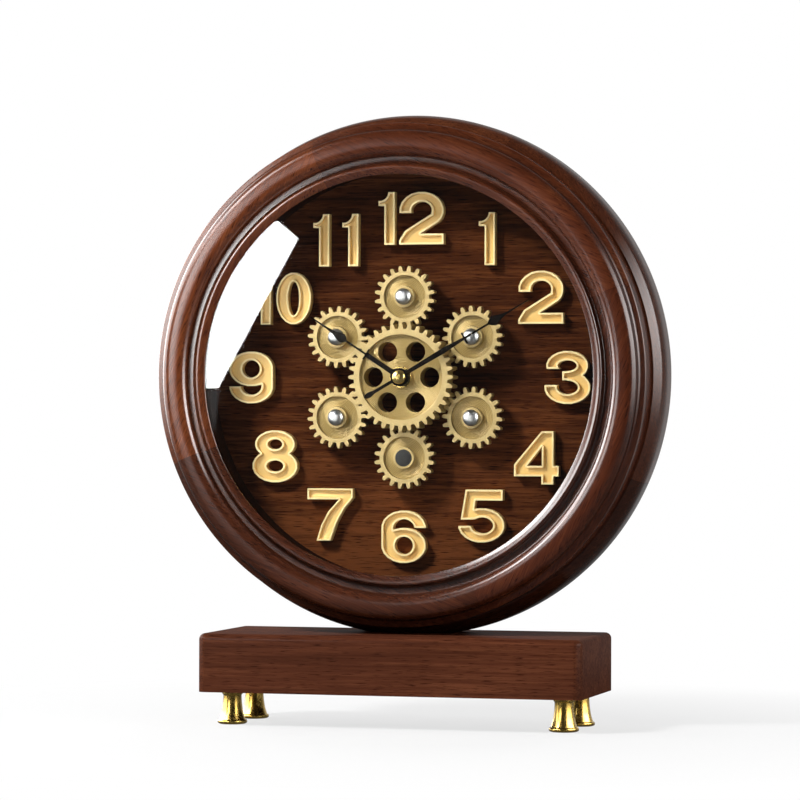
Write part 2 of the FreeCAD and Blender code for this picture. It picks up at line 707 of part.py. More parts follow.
def toothed_blank(teeth, first_tooth, y_front, y_back):
    """Spur gear without its hub; first_tooth is the angle of one tooth."""
    pitch = MODULE * teeth / 2
    radii = [pitch - DEDENDUM, pitch, pitch + ADDENDUM]
    halves = [math.degrees(tooth_half_angle(teeth, radius)) for radius in radii]
    flank = list(zip(radii, halves))
    points = []
    for k in range(teeth):
        middle = first_tooth + 360 / teeth * k
        points += [dial_point(radius, middle - half) for radius, half in flank]
        points += [dial_point(radius, middle + half) for radius, half in reversed(flank)]
    return plate(points, y_front, y_back)


def make_centre_gear():
    """Deep-rimmed wheel with a sunk web, six round holes and a hub tube behind."""
    front = CENTRE_GEAR_FRONT_Y
    back = CENTRE_GEAR_BACK_Y
    gear = toothed_blank(CENTRE_TEETH, 0, front, back)
    gear = gear.cut(disc(CENTRE_RECESS_RADIUS, front, front + CENTRE_RECESS_DEPTH))
    gear = gear.fuse(disc(CENTRE_HUB_RADIUS, back, CENTRE_HUB_BACK_Y))
    holes = [disc(BUSHING_RADIUS + RUNNING_FIT, front, CENTRE_HUB_BACK_Y)]
    for k in range(PLANETS):
        x, z = dial_point(CENTRE_HOLE_CIRCLE, 360 / PLANETS * (k + 0.5))
        holes.append(disc(CENTRE_HOLE_RADIUS, front, back, x, z))
    return gear.cut(holes)


def make_planet(bore):
    """Planet at twelve o'clock: a gap between teeth points down, at the centre gear."""
    front = PLANET_FRONT_Y
    gear = toothed_blank(PLANET_TEETH, 180 / PLANET_TEETH, front, PLANET_BACK_Y)
    gear = gear.cut(disc(PLANET_RECESS_RADIUS, front, front + PLANET_RECESS_DEPTH))
    gear = gear.fuse(disc(PLANET_BOSS_RADIUS, PLANET_BOSS_FRONT_Y, PLANET_BOSS_BACK_Y))
    gear = gear.cut(disc(bore, PLANET_BOSS_FRONT_Y, PLANET_BOSS_BACK_Y))
    return moved(gear, 0, PLANET_CIRCLE)


def make_planets():
    for number, angle in planet_places():
        driven = number == DRIVEN_PLANET
        bore = SPINDLE_NOSE_RADIUS if driven else PIN_RADIUS + RUNNING_FIT
        save(f"planet_gear_{number}", on_dial(clockwise(make_planet(bore), angle)))


def make_pin():
    """Shouldered pin with a domed head in front of its planet."""
    seat = PLANET_BOSS_FRONT_Y - END_PLAY
    rim = seat - PIN_HEAD_HEIGHT
    end = DIAL_BACK_Y + PIN_NUT_HEIGHT + PIN_END
    return turned([
        (0, rim - PIN_DOME),
        (PIN_DOME_FLAT, rim - PIN_DOME),
        (PIN_HEAD_RADIUS, rim),
        (PIN_HEAD_RADIUS, seat),
        (PIN_RADIUS, seat),
        (PIN_RADIUS, end),
        (0, end),
    ])


def make_pin_spacer():
    return tube(PIN_SPACER_RADIUS, PIN_RADIUS, PLANET_BOSS_BACK_Y + END_PLAY, DIAL_FRONT_Y)


def hex_nut(width, bore, y_front, y_back):
    return hexagon(width, y_front, y_back).cut(disc(bore, y_front, y_back))


def make_pin_parts():
    nut = hex_nut(PIN_NUT_WIDTH, PIN_RADIUS, DIAL_BACK_Y, DIAL_BACK_Y + PIN_NUT_HEIGHT)
    for node, piece in (("gear_pins", make_pin()), ("gear_spacers", make_pin_spacer()),
                        ("gear_pin_nuts", nut)):
        save(node, *[on_dial(moved(piece, x, z)) for x, z in pin_places()])


def make_spindle():
    """Nose pressed into the lowest planet and a shaft that runs back into the drive unit."""
    nose_front = PLANET_BOSS_FRONT_Y - END_PLAY / 2
    end = DIAL_BACK_Y + SPINDLE_DEPTH
    spindle = turned([
        (0, nose_front),
        (SPINDLE_NOSE_RADIUS, nose_front),
        (SPINDLE_NOSE_RADIUS, PLANET_BOSS_BACK_Y),
        (SPINDLE_RADIUS, PLANET_BOSS_BACK_Y),
        (SPINDLE_RADIUS, end),
        (0, end),
    ])
    return moved(spindle, 0, -PLANET_CIRCLE)


# ---------------------------------------------------------------------------- centre and hands

def make_bushing():
    return tube(BUSHING_RADIUS, HOUR_TUBE_RADIUS + RUNNING_FIT, BUSHING_FRONT_Y, DIAL_BACK_Y)


def make_washer():
    return tube(WASHER_RADIUS, BUSHING_RADIUS, WASHER_FRONT_Y, DIAL_FRONT_Y)


def make_bushing_nut():
    return hex_nut(BUSHING_NUT_WIDTH, BUSHING_RADIUS, BUSHING_NUT_FRONT_Y, WASHER_FRONT_Y)


def make_gear_collar():
    """Ring on the bushing that keeps the centre gear from sliding forward."""
    return tube(COLLAR_RADIUS, BUSHING_RADIUS, COLLAR_FRONT_Y, COLLAR_BACK_Y)


def make_hour_tube():
    back = DIAL_BACK_Y + TUBE_IN_MOVEMENT
    return tube(HOUR_TUBE_RADIUS, ARBOR_RADIUS + RUNNING_FIT, HOUR_HAND_FRONT_Y, back)


def make_arbor():
    front = HAND_NUT_FRONT_Y + HAND_NUT_CAP
    return disc(ARBOR_RADIUS, front, DIAL_BACK_Y + ARBOR_IN_MOVEMENT)


def make_hand_nut():
    """Domed cap nut in front of the minute hand."""
    back = MINUTE_HAND_FRONT_Y
    front = HAND_NUT_FRONT_Y
    return turned([
        (0, front),
        (HAND_NUT_RADIUS * 0.4, front),
        (HAND_NUT_RADIUS * 0.85, front + HAND_NUT_HEIGHT * 0.3),
        (HAND_NUT_RADIUS, front + HAND_NUT_HEIGHT * 0.7),
        (HAND_NUT_RADIUS, back),
        (ARBOR_RADIUS, back),
        (ARBOR_RADIUS, front + HAND_NUT_CAP),
        (0, front + HAND_NUT_CAP),
    ])


def blade(stations, length, y_front):
    """Flat part of a hand that points to twelve.

    Each station is (distance from the centre in percent of the hand's length, half width in
    percent of HAND_WIDTH).
    """
    sized = [(length * reach / 100, HAND_WIDTH * half / 100) for reach, half in stations]
    right = [(half, reach) for reach, half in sized]
    left = [(-half, reach) for reach, half in reversed(sized)]
    return plate(right + left, y_front, y_front + HAND_THICKNESS)


def make_hand(parts, length, bore, y_front, angle):
    """Hub disc and blade parts fused, bored for the shaft and turned to the hand's angle."""
    hub = disc(HAND_BOSS_RADIUS, y_front, y_front + HAND_THICKNESS)
    hand = hub.fuse([blade(stations, length, y_front) for stations in parts])
    hand = hand.cut(disc(bore, y_front, y_front + HAND_THICKNESS))
    return clockwise(hand.removeSplitter(), angle)


def make_hour_hand():
    """Short spade hand with a crossbar."""
    stem = [(0, 26), (37.6, 24)]
    crossbar = [(36.7, 60), (38.4, 60)]
    spade = [(35.8, 10), (60, 10), (62, 34), (64.5, 48), (68.1, 40), (73.5, 20), (81.2, 10),
             (100, 5)]
    return make_hand([stem, crossbar, spade], HOUR_HAND_LENGTH, HOUR_TUBE_RADIUS,
                     HOUR_HAND_FRONT_Y, HOUR_HAND_ANGLE)


def make_minute_hand():
    """Long spade hand with a crossbar, and a tail with an oval weight."""
    stem = [(0, 18), (33.9, 28), (50.8, 12)]
    crossbar = [(50.1, 60), (51.3, 60)]
    spade = [(49.5, 10), (69, 10), (70.8, 34), (72.9, 50), (75.5, 42), (78.8, 22), (82.7, 10),
             (100, 5)]
    tail = [(-27.2, 10), (-26, 22), (-23.6, 29), (-21.1, 22), (-19.8, 16), (0, 16)]
    return make_hand([stem, crossbar, spade, tail], MINUTE_HAND_LENGTH, ARBOR_RADIUS,
                     MINUTE_HAND_FRONT_Y, MINUTE_HAND_ANGLE)


# ---------------------------------------------------------------------------- works at the back

def rounded_case(width, depth, z_low, z_high):
    """Moulded box behind the dial with rounded upright corners."""
    box = block(-width / 2, width / 2, DIAL_BACK_Y, DIAL_BACK_Y + depth, z_low, z_high)
    corners = [e for e in box.Edges if e.BoundBox.YLength > depth - 1]
    return box.makeFillet(CASE_CORNER, corners)


def bay_centre(z_low):
    """Height of the cell's axis in a case whose lower edge is at z_low."""
    return z_low + BAY_EDGE + BAY_RADIUS


def cell_bay(z_low, depth):
    """Trough for a cell lying along X, open to the back."""
    half = BAY_LENGTH / 2
    z = bay_centre(z_low)
    back = DIAL_BACK_Y + depth
    y = back - BAY_RADIUS
    round_bottom = Part.makeCylinder(BAY_RADIUS, BAY_LENGTH, Vector(-half, y, z), Vector(1, 0, 0))
    return round_bottom.fuse(block(-half, half, y, back, z - BAY_RADIUS, z + BAY_RADIUS))


def make_cell(z_low, depth):
    """Round cell with its contact nub to the right."""
    y = DIAL_BACK_Y + depth - BAY_RADIUS
    z = bay_centre(z_low)
    start = -(CELL_LENGTH + CELL_NUB_LENGTH) / 2
    body = Part.makeCylinder(CELL_RADIUS, CELL_LENGTH, Vector(start, y, z), Vector(1, 0, 0))
    nub_start = Vector(start + CELL_LENGTH, y, z)
    nub = Part.makeCylinder(CELL_NUB_RADIUS, CELL_NUB_LENGTH, nub_start, Vector(1, 0, 0))
    return body.fuse(nub)


def make_movement():
    """Square clock movement: cell bay below, sockets for the shafts and the setting knob."""
    low = -MOVEMENT_SIZE / 2
    case = rounded_case(MOVEMENT_SIZE, MOVEMENT_DEPTH, low, -low)
    back = DIAL_BACK_Y + MOVEMENT_DEPTH
    tube_end = DIAL_BACK_Y + TUBE_IN_MOVEMENT + END_PLAY
    arbor_end = DIAL_BACK_Y + ARBOR_IN_MOVEMENT + END_PLAY
    return case.cut([
        cell_bay(low, MOVEMENT_DEPTH),
        disc(HOUR_TUBE_RADIUS + RUNNING_FIT, DIAL_BACK_Y, tube_end),
        disc(ARBOR_RADIUS + RUNNING_FIT, tube_end, arbor_end),
        disc(KNOB_STEM_RADIUS + RUNNING_FIT, back - KNOB_STEM_DEPTH - END_PLAY, back, z=KNOB_OFFSET),
    ])


def make_knob():
    """Setting knob with its stem in the movement."""
    seat = DIAL_BACK_Y + MOVEMENT_DEPTH + END_PLAY
    return disc(KNOB_RADIUS, seat, seat + KNOB_THICKNESS, z=KNOB_OFFSET).fuse(
        disc(KNOB_STEM_RADIUS, seat - END_PLAY - KNOB_STEM_DEPTH, seat, z=KNOB_OFFSET))


def drive_screw_places():
    x = DRIVE_WIDTH / 2 + EAR_WIDTH / 2
    z = DRIVE_BOTTOM + DRIVE_HEIGHT / 2
    return [(-x, z), (x, z)]


def switch_places():
    """x range of the switch's pocket and height of its middle."""
    length = SWITCH_BUTTON_LENGTH + SWITCH_TRAVEL + 2 * SWITCH_CLEARANCE
    return SWITCH_X, SWITCH_X + length, -PLANET_CIRCLE


def make_drive_unit():
    """Gear motor case with a cell bay, screw ears, a spindle socket and a switch pocket."""
    case = rounded_case(DRIVE_WIDTH, DRIVE_DEPTH, DRIVE_BOTTOM, DRIVE_TOP)
    back = DIAL_BACK_Y + DRIVE_DEPTH
    reach = DRIVE_WIDTH / 2 + EAR_WIDTH
    middle = (DRIVE_BOTTOM + DRIVE_TOP) / 2
    ears = block(-reach, reach, DIAL_BACK_Y, DIAL_BACK_Y + EAR_THICKNESS,
                 middle - EAR_HEIGHT / 2, middle + EAR_HEIGHT / 2)
    x0, x1, switch_z = switch_places()
    half = SWITCH_BUTTON_HEIGHT / 2 + SWITCH_CLEARANCE
    socket_end = DIAL_BACK_Y + SPINDLE_DEPTH + END_PLAY
    holes = [
        cell_bay(DRIVE_BOTTOM, DRIVE_DEPTH),
        disc(SPINDLE_RADIUS + RUNNING_FIT, DIAL_BACK_Y, socket_end, z=-PLANET_CIRCLE),
        block(x0, x1, back - SWITCH_POCKET_DEPTH, back, switch_z - half, switch_z + half),
    ]
    for x, z in drive_screw_places():
        pilot = DRIVE_SCREW_RADIUS + SCREW_CLEARANCE
        holes.append(disc(pilot, DIAL_BACK_Y, DIAL_BACK_Y + EAR_THICKNESS, x, z))
    return case.fuse(ears).cut(holes)


def make_drive_switch():
    """Sliding button at the left end of its pocket."""
    x0, _, z = switch_places()
    start = x0 + SWITCH_CLEARANCE
    back = DIAL_BACK_Y + DRIVE_DEPTH
    half = SWITCH_BUTTON_HEIGHT / 2
    return block(start, start + SWITCH_BUTTON_LENGTH,
                 back - SWITCH_POCKET_DEPTH + SWITCH_CLEARANCE, back + SWITCH_PROUD,
                 z - half, z + half)


def make_drive_screws():
    seat = DIAL_BACK_Y + EAR_THICKNESS
    screw = back_screw(DRIVE_SCREW_RADIUS, DRIVE_SCREW_HEAD_RADIUS, DRIVE_SCREW_HEAD_HEIGHT,
                       seat, DIAL_BACK_Y - DRIVE_SCREW_GRIP)
    return [moved(screw, x, z) for x, z in drive_screw_places()]


# ---------------------------------------------------------------------------- assembly

def build():
    os.makedirs("parts", exist_ok=True)
    save("base", make_base())
    feet = []
    for x, y in foot_places():
        foot = make_foot()
        foot.translate(Vector(x, y, 0))
        feet.append(foot)
    save("feet", *feet)
    screws = []
    for x, y in case_screw_places():
        screw = make_case_screw()
        screw.translate(Vector(x, y, 0))
        screws.append(screw)
    save("case_screws", *screws)
    make_rings()
    save("glass", moved(make_glass(), 0, DRUM_Z))
    save("glass_spacer_ring", moved(make_glass_spacer(), 0, DRUM_Z))
    save("dial", make_dial())
    save("dial_screws", *make_dial_screws())
    make_numerals()
    save("centre_gear", on_dial(make_centre_gear()))
    make_planets()
    make_pin_parts()
    save("drive_spindle", on_dial(make_spindle()))
    save("centre_bushing", on_dial(make_bushing()))
    save("bushing_washer", on_dial(make_washer()))
    save("bushing_nut", on_dial(make_bushing_nut()))
    save("gear_collar", on_dial(make_gear_collar()))
    save("hour_tube", on_dial(make_hour_tube()))
    save("minute_arbor", on_dial(make_arbor()))
    save("hour_hand", on_dial(make_hour_hand()))
    save("minute_hand", on_dial(make_minute_hand()))
    save("hand_nut", on_dial(make_hand_nut()))
    save("movement_case", on_dial(make_movement()))
    save("clock_battery", on_dial(make_cell(-MOVEMENT_SIZE / 2, MOVEMENT_DEPTH)))
    save("setting_knob", on_dial(make_knob()))
    save("drive_unit_case", on_dial(make_drive_unit()))
    save("drive_battery", on_dial(make_cell(DRIVE_BOTTOM, DRIVE_DEPTH)))
    save("drive_switch", on_dial(make_drive_switch()))
    save("drive_screws", *[on_dial(screw) for screw in make_drive_screws()])


build()
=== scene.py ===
"""Desk clock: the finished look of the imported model. Metres, in the model's own frame."""

import json
import math

import bmesh
import bpy
import numpy as np
from mathutils import Matrix, Vector

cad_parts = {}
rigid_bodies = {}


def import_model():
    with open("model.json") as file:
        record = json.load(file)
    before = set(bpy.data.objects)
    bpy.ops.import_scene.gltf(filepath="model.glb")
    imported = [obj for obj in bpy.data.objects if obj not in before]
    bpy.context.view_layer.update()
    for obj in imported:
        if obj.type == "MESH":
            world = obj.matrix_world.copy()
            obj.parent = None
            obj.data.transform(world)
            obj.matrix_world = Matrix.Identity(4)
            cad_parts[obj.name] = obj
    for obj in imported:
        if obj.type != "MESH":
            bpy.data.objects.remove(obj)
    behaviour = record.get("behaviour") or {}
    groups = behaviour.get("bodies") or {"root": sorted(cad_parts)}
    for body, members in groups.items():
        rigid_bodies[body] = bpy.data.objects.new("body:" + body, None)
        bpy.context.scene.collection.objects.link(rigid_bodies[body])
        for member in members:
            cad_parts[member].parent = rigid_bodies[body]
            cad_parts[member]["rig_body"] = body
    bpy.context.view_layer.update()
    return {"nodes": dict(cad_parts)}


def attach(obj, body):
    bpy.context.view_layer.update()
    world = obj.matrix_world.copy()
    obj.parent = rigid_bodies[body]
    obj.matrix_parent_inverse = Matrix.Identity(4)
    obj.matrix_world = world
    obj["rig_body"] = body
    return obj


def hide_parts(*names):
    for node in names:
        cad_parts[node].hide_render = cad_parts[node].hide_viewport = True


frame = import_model()


# ---- Feet --------------------------------------------------------------------
# Four turned feet of polished brass, each screwed into the plinth by a stud.
# A rounded bead stands on the table, under a waisted stem and a plain collar.

def srgb(red, green, blue):
    """Linear colour of a screen colour given from 0 to 255."""
    shares = np.array([red, green, blue]) / 255
    linear = np.where(shares <= 0.04045, shares / 12.92, ((shares + 0.055) / 1.055) ** 2.4)
    return (*linear.tolist(), 1.0)


def rounded(corners):
    """Outline in metres with its corners rounded, from corners in millimetres.

    Each corner (a, b, setback) becomes the parabola that leaves its two sides at setback from
    the corner: (1-s)^2 start + 2 s (1-s) corner + s^2 end, for s from 0 to 1 in six points.
    """
    data = np.array(corners, float)
    point, setback = data[:, :2], data[:, 2:]
    before = np.roll(point, 1, axis=0) - point
    after = np.roll(point, -1, axis=0) - point
    start = (point + setback * before / np.linalg.norm(before, axis=1, keepdims=True))[:, None]
    end = (point + setback * after / np.linalg.norm(after, axis=1, keepdims=True))[:, None]
    s = np.linspace(0, 1, 6)[None, :, None]
    curve = (1 - s) ** 2 * start + 2 * s * (1 - s) * point[:, None] + s ** 2 * end
    return curve.reshape(-1, 2) / 1000


def lathe(profile, centre, axis, turns):
    """Points turned about an axis through centre: radius outwards and height along the axis."""
    outline = np.asarray(profile, float)
    angle = np.linspace(0, 2 * np.pi, turns, endpoint=False)[None, :]
    radius, height = outline[:, 0][:, None], outline[:, 1][:, None] + 0 * angle
    across, up = radius * np.cos(angle), radius * np.sin(angle)
    order = {"X": (height, across, up), "Y": (up, height, across), "Z": (across, up, height)}
    return np.stack(order[axis], axis=-1) + np.asarray(centre, float)


def dressed(name, mesh, body, material, replaces, crease, bevel=0.0):
    """Object for a mesh: cleaned, shaded smooth up to its creases, and tied to the model.

    Doubled points at poles and seams are merged, faces are turned outwards, and edges sharper
    than crease degrees stay sharp, or are rounded by bevel metres where that is given.
    """
    same_point, no_length, same_plane = 2e-7, 1e-7, math.radians(0.5)
    shell = bmesh.new()
    shell.from_mesh(mesh)
    bmesh.ops.remove_doubles(shell, verts=shell.verts, dist=same_point)
    bmesh.ops.dissolve_degenerate(shell, edges=shell.edges, dist=no_length)
    if bevel:
        bmesh.ops.dissolve_limit(shell, angle_limit=same_plane, verts=shell.verts,
                                 edges=shell.edges)
    bmesh.ops.recalc_face_normals(shell, faces=shell.faces)
    shell.to_mesh(mesh)
    shell.free()
    mesh.shade_smooth()
    mesh.set_sharp_from_angle(angle=math.radians(crease))
    mesh.materials.clear()
    mesh.materials.append(material)
    obj = bpy.data.objects.new(name, mesh)
    bpy.context.scene.collection.objects.link(obj)
    if bevel:
        edge = obj.modifiers.new("edges", "BEVEL")
        edge.width = bevel
        edge.segments = 2
        edge.limit_method = "ANGLE"
        edge.angle_limit = math.radians(crease)
        edge.harden_normals = True
    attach(obj, body)
    if replaces:
        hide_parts(*replaces)


def piece(name, grid, body, material, replaces=(), caps=False, crease=40):
    """Piece over a grid of points [along, around, xyz], joined up around.

    Row after row of points is bridged by four-sided faces, and caps close the two end rows.
    """
    rows, columns = grid.shape[:2]
    row = np.arange(rows - 1)[:, None] * columns
    column = np.arange(columns)[None, :]
    next_row, next_column = row + columns, (column + 1) % columns
    quads = np.stack([row + column, next_row + column, next_row + next_column,
                      row + next_column], axis=-1)
    faces = quads.reshape(-1, 4).tolist()
    if caps:
        faces.append(list(range(columns)))
        faces.append(list(range((rows - 1) * columns, rows * columns)))
    mesh = bpy.data.meshes.new(name)
    mesh.from_pydata(grid.reshape(-1, 3), [], faces)
    dressed(name, mesh, body, material, replaces, crease)


def adder(tree):
    """Function that adds a node to a tree, sets or links its inputs, and sets its settings."""
    def add(kind, inputs=None, **settings):
        node = tree.nodes.new(kind)
        for key, value in settings.items():
            setattr(node, key, value)
        for key, value in (inputs or {}).items():
            if isinstance(value, bpy.types.NodeSocket):
                tree.links.new(value, node.inputs[key])
            else:
                node.inputs[key].default_value = value
        return node

    return add


def shader(name):
    """New node material with its principled shader, its node adder and its links."""
    material = bpy.data.materials.new(name)
    material.use_nodes = True
    tree = material.node_tree
    return material, tree.nodes["Principled BSDF"], adder(tree), tree.links


def figure(add, size, place=((0, 0, 0), (0, 0, 0)), detail=4.0, rough=0.55, warp=0.0):
    """Noise whose marks are size (x, y, z) metres long, in a frame at place (centre, turn)."""
    where = add("ShaderNodeTexCoord").outputs["Object"]
    centre, turn = place
    grid = add("ShaderNodeMapping", {"Vector": where, "Location": centre, "Rotation": turn,
                                     "Scale": size}, vector_type="TEXTURE")
    return add("ShaderNodeTexNoise", {"Vector": grid.outputs["Vector"], "Scale": 1.0,
                                      "Detail": detail, "Roughness": rough, "Distortion": warp}
               ).outputs["Fac"]


def ramp(add, value, stops):
    """Colours laid along a value from 0 to 1."""
    node = add("ShaderNodeValToRGB", {"Fac": value})
    entries = node.color_ramp.elements
    while len(entries) < len(stops):
        entries.new(0.5)
    for entry, (position, colour) in zip(entries, stops):
        entry.position = position
        entry.color = colour
    return node.outputs["Color"]


def remap(add, value, low, high, to_low=0.0, to_high=1.0, course="LINEAR"):
    """Value carried from the range low to high into to_low to to_high, and held at its ends."""
    return add("ShaderNodeMapRange", {"Value": value, "From Min": low, "From Max": high,
                                      "To Min": to_low, "To Max": to_high},
               interpolation_type=course).outputs["Result"]


def relief(add, height, strength, distance=0.0002, below=None):
    """Normals of a height from 0 to 1 that stands for distance metres, over those below it."""
    inputs = {"Height": height, "Strength": strength, "Distance": distance}
    if below is not None:
        inputs["Normal"] = below
    return add("ShaderNodeBump", inputs).outputs["Normal"]


def metal(name, low, high, metallic, roughness, mark=0.004, shine=0.5):
    """Metal with a faintly cloudy colour and fine tool or polishing marks."""
    material, surface, add, link = shader(name)
    polish_mark = 0.0006
    cloud = figure(add, (mark,) * 3)
    link.new(ramp(add, cloud, [(0.3, low), (0.7, high)]), surface.inputs["Base Color"])
    marks = figure(add, (polish_mark,) * 3, detail=2)
    uneven = remap(add, marks, 0.0, 1.0, roughness * 0.8, roughness * 1.25)
    link.new(uneven, surface.inputs["Roughness"])
    link.new(relief(add, marks, 0.02), surface.inputs["Normal"])
    surface.inputs["Metallic"].default_value = metallic
    surface.inputs["Specular IOR Level"].default_value = shine
    return material


polished_brass = metal("polished_brass", srgb(140, 114, 55), srgb(172, 144, 76), 1.0, 0.26)
foot_profile = rounded([
    (0, 0, 0), (6.2, 0, 0.5), (7.5, 0.5, 0.7), (7.5, 2.1, 0.7), (6.6, 2.3, 0.1),     # bead
    (5.5, 5.6, 1.6), (4.7, 11.0, 2.0), (4.6, 14.6, 0.3),                             # stem
    (5.2, 15.2, 0.3), (5.2, 16.98, 0.1),                                             # collar
    (2.5, 16.98, 0.05), (2.5, 28.9, 0.3), (0, 28.9, 0)])                             # stud
foot_x, foot_y = 0.0858, 0.0186
foot_places = [(x, y, 0) for x in (-foot_x, foot_x) for y in (-foot_y, foot_y)]
for number, place in enumerate(foot_places, 1):
    piece(f"turned_foot_{number}", lathe(foot_profile, place, "Z", 72), "case",
          polished_brass, ("feet",) if number == 1 else (), crease=50)


# ---- Plinth ------------------------------------------------------------------
# A solid board of stained and lacquered hardwood with rounded edges, grain from side to side.
# Two wood screws rise from deep holes under it into the drum.

def reckon(add, operation, *values):
    """Result of a sum, product or other operation on one or two values."""
    return add("ShaderNodeMath", dict(enumerate(values)), operation=operation).outputs["Value"]


def wood(name, dark, middle, light, gloss, coat, centre=(0, 0, 0), turn=(0, 0, 0),
         width=0.0012, length=0.05, contrast=1.0, lift=None, finish=None):
    """Lacquered wood: long grain figure, broad tone bands and short dark pores along local X.

    A streak of the figure is length by width metres, and a higher contrast takes more of it to
    the dark and light tones. lift, where given, makes a level that is added to the tone's, and
    finish goes over the tone and the normals of a piece before they reach its surface.
    """
    material, surface, add, link = shader(name)
    place = (centre, turn)
    band_length, band_width, band_share = length * 1.6, width * 9, 0.3
    pore_length, pore_width, pore_shade = 0.008, 0.0004, 0.55
    reach = 0.17 / contrast
    band = figure(add, (band_length, band_width, band_width), place, 2, 0.5, 0.3)
    grain = figure(add, (length, width, width), place, 6, 0.66, 0.25)
    pores = figure(add, (pore_length, pore_width, pore_width), place, 2, 0.5)
    level = add("ShaderNodeMix", {0: band_share, 2: grain, 3: band},
                data_type="FLOAT").outputs[0]
    if lift:
        level = reckon(add, "ADD", level, lift(add))
    tone = ramp(add, level, [(0.5 - reach, dark), (0.5, middle), (0.5 + reach, light)])
    pit = remap(add, pores, 0.58, 0.68)
    normal = relief(add, reckon(add, "SUBTRACT", grain, pit), 0.16, 0.0004)
    surface.inputs["Coat Weight"].default_value = coat
    if finish:
        tone, normal = finish(add, link, surface, coat, tone, normal)
    pore_tone = (*(pore_shade * share for share in dark[:3]), 1.0)
    pitted = add("ShaderNodeMix", {0: pit, 6: tone, 7: pore_tone}, data_type="RGBA").outputs[2]
    link.new(pitted, surface.inputs["Base Color"])
    uneven = remap(add, grain, 0.3, 0.7, gloss * 1.2, gloss * 0.85)
    link.new(uneven, surface.inputs["Roughness"])
    link.new(normal, surface.inputs["Normal"])
    surface.inputs["Coat Roughness"].default_value = 0.2
    surface.inputs["Specular IOR Level"].default_value = 0.0
    return material


def copy_of(node, name, material, bevel, crease=32):
    """The CAD node's own shape, merged and given a small rounding along its sharp edges."""
    source = frame["nodes"][node]
    mesh = source.data.copy()
    dressed(name, mesh, source["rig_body"], material, (node,), crease, bevel)


plinth_wood = wood("plinth_wood", srgb(46, 22, 13), srgb(72, 38, 24), srgb(98, 56, 36),
                   gloss=0.5, coat=0.06, width=0.0018, length=0.07, contrast=0.8)
copy_of("base", "plinth", plinth_wood, 0.001, 50)

screw_zinc = metal("screw_zinc", srgb(150, 150, 148), srgb(190, 190, 186), 1.0, 0.3, 0.002)
copy_of("case_screws", "case_screws_finished", screw_zinc, 0.0003)


# ---- Rear ring ---------------------------------------------------------------
# Four curved segments of the same hardwood, glued end to end and turned with round shoulders.
# The grain of each runs along its own chord, so the tone changes at every glue joint.

drum_z = 0.1762             # height of the drum's axis


def on_circle(radius, degrees, centre_z):
    """Place (x, z) on a circle that faces forward, clockwise from its top."""
    angle = math.radians(degrees)
    return radius * math.sin(angle), centre_z + radius * math.cos(angle)


def coordinate(add, axis):
    """One coordinate of a piece's own points, in metres."""
    where = add("ShaderNodeTexCoord").outputs["Object"]
    return add("ShaderNodeSeparateXYZ", {"Vector": where}).outputs[axis]


def turned(add, link, surface, coat, tone, normal):
    """Finish off the lathe: painted shade in the groove and cove, a painted highlight on the
    bead, thick lacquer inside, fine rings.

    The painted shading and the lacquer follow the distance from the drum's axis, as shares of
    the way from the ring's inner to its outer edge, and the rings follow that distance and the
    depth.
    """
    inner, outer = 0.1, 0.132
    # Painted shading: the tone is darkened in the groove, the cove and towards the edges, and
    # lightened on the bead's crest.
    painted_shading_levels = [(0.0, 0.85), (0.13, 1.0), (0.17, 0.7), (0.2, 0.4), (0.24, 0.8), (0.32, 1.0),
                    (0.5, 1.2), (0.62, 0.9), (0.71, 0.55), (0.80, 0.85), (0.92, 0.9), (1.0, 0.7)]
    thick_to, thin_from = 0.36, 0.42
    where = add("ShaderNodeTexCoord").outputs["Object"]
    off_centre = add("ShaderNodeVectorMath", {0: where, 1: (0, 0, drum_z)},
                     operation="SUBTRACT").outputs["Vector"]
    across = add("ShaderNodeVectorMath", {0: off_centre, 1: (1, 0, 1)},
                 operation="MULTIPLY").outputs["Vector"]
    radius = add("ShaderNodeVectorMath", {0: across}, operation="LENGTH").outputs["Value"]
    share = remap(add, radius, inner, outer)
    painted_shading = ramp(add, share, [(at, (level, level, level, 1)) for at, level in painted_shading_levels])
    painted_shading_tone = add("ShaderNodeMix", {0: 1.0, 6: tone, 7: painted_shading}, data_type="RGBA",
                  blend_type="MULTIPLY").outputs[2]
    lacquer = ramp(add, share, [(thick_to, (1, 1, 1, 1)), (thin_from, (coat, coat, coat, 1))])
    link.new(lacquer, surface.inputs["Coat Weight"])
    spot = add("ShaderNodeCombineXYZ", {"X": radius, "Y": coordinate(add, "Y")})
    rings = add("ShaderNodeTexNoise", {"Vector": spot.outputs["Vector"], "Scale": 1100.0,
                                       "Detail": 3.0}).outputs["Fac"]
    return painted_shading_tone, relief(add, rings, 0.3, 0.0003, normal)


def ring_segment(outline, first, last):
    """Outline (radius, y) swept clockwise round the drum from angle first to angle last.

    A point is (radius sin turn, y, drum's middle + radius cos turn), and a hair's breadth of
    turn is left open at each end for the glue.
    """
    glue, steps = 0.02, 96
    turn = np.radians(np.linspace(first + glue, last - glue, steps))[:, None]
    profile = rounded(outline)
    radius, y = profile[:, 0][None, :], profile[:, 1][None, :] + 0 * turn
    return np.stack([radius * np.sin(turn), y, drum_z + radius * np.cos(turn)], axis=-1)


def glued_ring(side, outline, tones, first_joint, heart_radius, heart_step, gloss, coat):
    """Four segments from first_joint on, each a quarter turn of its own timber.

    A timber's heart, where its figure is centred, lies at heart_radius in the middle of the
    segment, and heart_step further back in each next one, so that no two are alike.
    """
    for number, colours in tones.items():
        start = first_joint + 90 * (number - 1)
        x, z = on_circle(heart_radius, start + 45, drum_z)
        timber = wood(f"{side}_wood_{number}", *colours, centre=(x, heart_step * number, z),
                      turn=(0, math.radians(start + 45), 0), gloss=gloss, coat=coat,
                      width=0.0008, length=0.024, contrast=0.65, finish=turned)
        piece(f"{side}_ring_{number}", ring_segment(outline, start, start + 90), "case",
              timber, (f"{side}_ring_segment_{number}",), caps=True)


